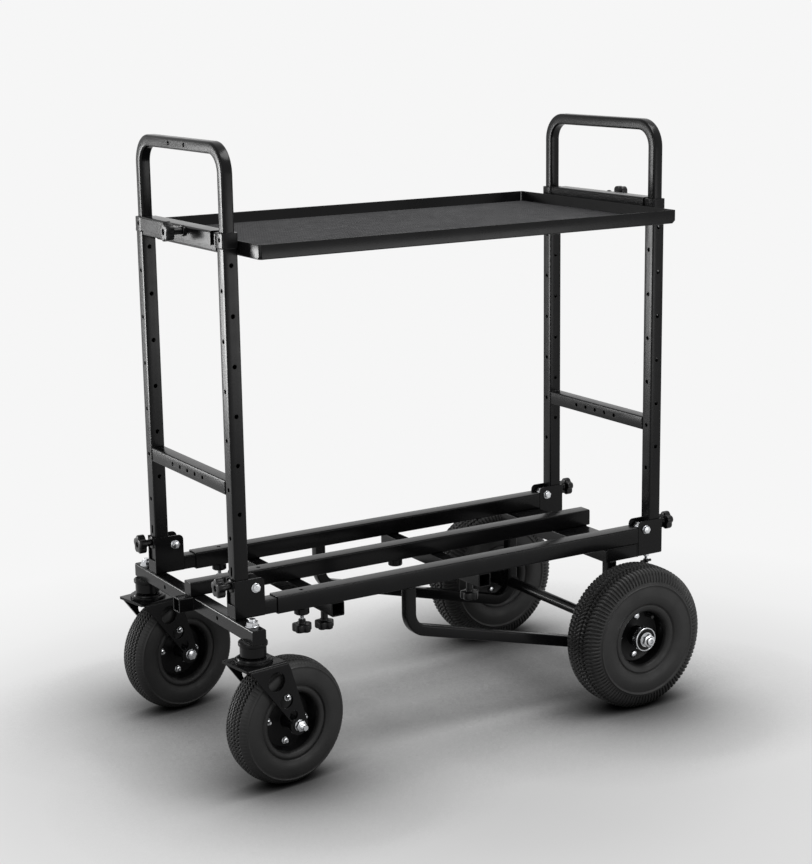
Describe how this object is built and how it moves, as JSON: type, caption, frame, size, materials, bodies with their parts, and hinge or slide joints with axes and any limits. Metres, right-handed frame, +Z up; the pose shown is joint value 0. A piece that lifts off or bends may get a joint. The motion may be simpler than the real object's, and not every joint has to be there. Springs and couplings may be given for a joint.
{
  "type": "camera cart",
  "caption": "Telescoping equipment cart with ladder handles, a lipped shelf between them, swivel casters in front and large pneumatic wheels behind.",
  "frame": {"origin": "middle of the cart's footprint, on the ground under the wheels", "axes": "+X from the caster end to the large-wheel end, +Y from the near side (with the clamp knobs) to the far side, +Z up"},
  "size_m": [0.964, 0.576, 1.06],
  "materials": {
    "powder_coat": "satin black powder coat",
    "rim_paint": "semi-gloss black",
    "zinc": "bright zinc plate",
    "knob_plastic": "moulded black",
    "tyre_rubber": "matte black",
    "mat_rubber": "ribbed dark grey"
  },
  "bodies": {
    "main_frame": {"rail_near": "powder_coat", "rail_centre": "powder_coat", "rail_far": "powder_coat", "receiver_front": "powder_coat", "receiver_rear": "powder_coat", "rear_cross_member": "powder_coat", "hoop_near": "powder_coat", "hoop_far": "powder_coat", "axle": "powder_coat", "axle_nut_near": "zinc", "axle_nut_far": "zinc", "bracket_rear_near": "powder_coat", "bracket_rear_far": "powder_coat", "pivot_bolt_rear_near": "zinc", "pivot_bolt_rear_far": "zinc", "post_rear_near": "powder_coat", "post_rear_far": "powder_coat", "cross_tube_rear": "powder_coat", "crossbar_rear": "powder_coat", "handle_rear": "powder_coat", "shelf_hook_rear": "powder_coat"},
    "front_frame": {"inner_tube_near": "powder_coat", "inner_tube_far": "powder_coat", "caster_bar": "powder_coat", "kingpin_near": "zinc", "kingpin_far": "zinc", "bracket_front_near": "powder_coat", "bracket_front_far": "powder_coat", "pivot_bolt_front_near": "zinc", "pivot_bolt_front_far": "zinc", "post_front_near": "powder_coat", "post_front_far": "powder_coat", "cross_tube_front": "powder_coat", "crossbar_front": "powder_coat", "handle_front": "powder_coat", "shelf_hook_front": "powder_coat"},
    "caster_fork_near": {"fork_near": "powder_coat", "caster_axle_near": "zinc"},
    "caster_fork_far": {"fork_far": "powder_coat", "caster_axle_far": "zinc"},
    "caster_wheel_near": {"caster_tyre_near": "tyre_rubber", "caster_rim_near": "rim_paint"},
    "caster_wheel_far": {"caster_tyre_far": "tyre_rubber", "caster_rim_far": "rim_paint"},
    "rear_wheel_near": {"rear_tyre_near": "tyre_rubber", "rear_rim_near": "rim_paint"},
    "rear_wheel_far": {"rear_tyre_far": "tyre_rubber", "rear_rim_far": "rim_paint"},
    "shelf": {"shelf_tray": "powder_coat", "shelf_mat": "mat_rubber"},
    "lock_plunger_front_near": {"lock_knob_front_near": "knob_plastic"},
    "lock_plunger_front_far": {"lock_knob_front_far": "knob_plastic"},
    "lock_plunger_rear_near": {"lock_knob_rear_near": "knob_plastic"},
    "lock_plunger_rear_far": {"lock_knob_rear_far": "knob_plastic"},
    "rail_lock_near": {"rail_lock_knob_near": "knob_plastic"},
    "rail_lock_far": {"rail_lock_knob_far": "knob_plastic"},
    "receiver_clamp_front": {"receiver_knob_front": "knob_plastic"},
    "receiver_clamp_rear": {"receiver_knob_rear": "knob_plastic"},
    "shelf_clamp_front": {"shelf_knob_front": "knob_plastic"},
    "shelf_clamp_rear": {"shelf_knob_rear": "knob_plastic"}
  },
  "joints": [
    {"name": "frame_telescope", "type": "slide", "parent": "main_frame", "child": "front_frame", "axis": [-1, 0, 0], "range_m": [0, 0.35]},
    {"name": "caster_swivel_near", "type": "hinge", "parent": "front_frame", "child": "caster_fork_near", "pos_m": [-0.4335, -0.2105, 0.225], "axis": [0, 0, 1], "continuous": true},
    {"name": "caster_swivel_far", "type": "hinge", "parent": "front_frame", "child": "caster_fork_far", "pos_m": [-0.4335, 0.2105, 0.225], "axis": [0, 0, 1], "continuous": true},
    {"name": "caster_spin_near", "type": "hinge", "parent": "caster_fork_near", "child": "caster_wheel_near", "pos_m": [-0.37408, -0.20215, 0.109], "axis": [-0.1392, 0.9903, 0], "continuous": true},
    {"name": "caster_spin_far", "type": "hinge", "parent": "caster_fork_far", "child": "caster_wheel_far", "pos_m": [-0.37441, 0.22092, 0.109], "axis": [-0.1736, 0.9848, 0], "continuous": true},
    {"name": "rear_spin_near", "type": "hinge", "parent": "main_frame", "child": "rear_wheel_near", "pos_m": [0.331, -0.235, 0.133], "axis": [0, 1, 0], "continuous": true},
    {"name": "rear_spin_far", "type": "hinge", "parent": "main_frame", "child": "rear_wheel_far", "pos_m": [0.331, 0.235, 0.133], "axis": [0, 1, 0], "continuous": true},
    {"name": "shelf_lift", "type": "slide", "parent": "main_frame", "child": "shelf", "axis": [0, 0, 1], "range_m": [0, 0.15]},
    {"name": "lock_pull_front_near", "type": "slide", "parent": "front_frame", "child": "lock_plunger_front_near", "axis": [-1, 0, 0], "range_m": [0, 0.008], "stiffness_N_per_m": 800, "springref_m": -0.006},
    {"name": "lock_pull_front_far", "type": "slide", "parent": "front_frame", "child": "lock_plunger_front_far", "axis": [-1, 0, 0], "range_m": [0, 0.008], "stiffness_N_per_m": 800, "springref_m": -0.006},
    {"name": "lock_pull_rear_near", "type": "slide", "parent": "main_frame", "child": "lock_plunger_rear_near", "axis": [1, 0, 0], "range_m": [0, 0.008], "stiffness_N_per_m": 800, "springref_m": -0.006},
    {"name": "lock_pull_rear_far", "type": "slide", "parent": "main_frame", "child": "lock_plunger_rear_far", "axis": [1, 0, 0], "range_m": [0, 0.008], "stiffness_N_per_m": 800, "springref_m": -0.006},
    {"name": "rail_lock_pull_near", "type": "slide", "parent": "main_frame", "child": "rail_lock_near", "axis": [0, 0, -1], "range_m": [0, 0.005], "stiffness_N_per_m": 800, "springref_m": -0.006},
    {"name": "rail_lock_pull_far", "type": "slide", "parent": "main_frame", "child": "rail_lock_far", "axis": [0, 0, -1], "range_m": [0, 0.005], "stiffness_N_per_m": 800, "springref_m": -0.006},
    {"name": "receiver_screw_front", "type": "hinge", "parent": "main_frame", "child": "receiver_clamp_front", "pos_m": [-0.2505, -0.12, 0.24], "axis": [0, 0, 1], "continuous": true},
    {"name": "receiver_screw_rear", "type": "hinge", "parent": "main_frame", "child": "receiver_clamp_rear", "pos_m": [0.048, -0.12, 0.24], "axis": [0, 0, 1], "continuous": true},
    {"name": "shelf_screw_front", "type": "hinge", "parent": "front_frame", "child": "shelf_clamp_front", "pos_m": [-0.45, -0.031, 0.912], "axis": [1, 0, 0], "continuous": true},
    {"name": "shelf_screw_rear", "type": "hinge", "parent": "main_frame", "child": "shelf_clamp_rear", "pos_m": [0.45, 0, 0.912], "axis": [1, 0, 0], "continuous": true}
  ]
}
